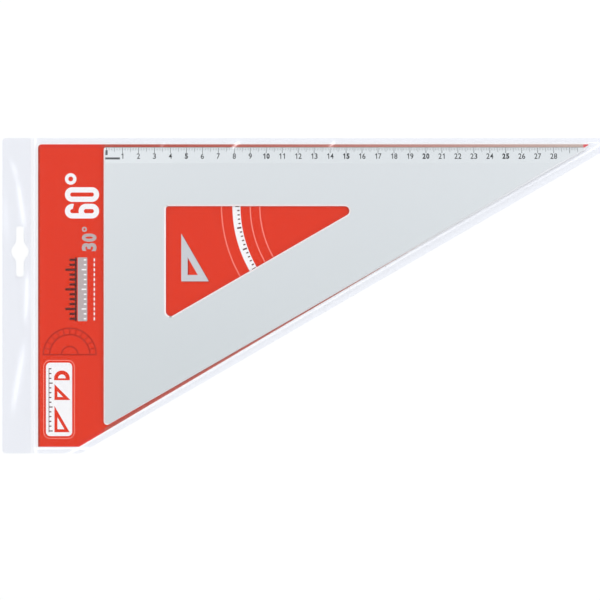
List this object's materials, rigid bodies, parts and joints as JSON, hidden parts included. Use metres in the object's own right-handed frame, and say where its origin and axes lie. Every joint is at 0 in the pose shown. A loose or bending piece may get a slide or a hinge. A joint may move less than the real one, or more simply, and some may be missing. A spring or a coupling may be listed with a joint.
{
  "type": "drafting triangle",
  "caption": "Aluminium 60/30 degree set square with a graduated long edge, on a red card in a clear hanging film sleeve.",
  "frame": {"origin": "on the underside of the sleeve, under the square's right angle, where the scale begins", "axes": "+X along the long leg and its scale towards the 30 degree tip, -Y along the short leg, +Z out of the face that is read"},
  "size_m": [0.3834, 0.1978, 0.0035],
  "materials": {
    "anodised_aluminium": "satin anodised",
    "printed_card": "coated print",
    "clear_film": "clear gloss",
    "scale_ink": "baked ink",
    "card_ink": "offset print"
  },
  "bodies": {
    "sleeve": {"sleeve_back_film": "clear_film", "sleeve_front_film": "clear_film", "hang_tab_film": "clear_film"},
    "card": {"backing_card": "printed_card"},
    "square": {"set_square": "anodised_aluminium"}
  },
  "joints": [
    {"name": "card_slide", "type": "slide", "parent": "sleeve", "child": "card", "axis": [-1, 0, 0], "range_m": [0, 0.352]},
    {"name": "square_slide", "type": "slide", "parent": "sleeve", "child": "square", "axis": [-1, 0, 0], "range_m": [0, 0.347]}
  ]
}
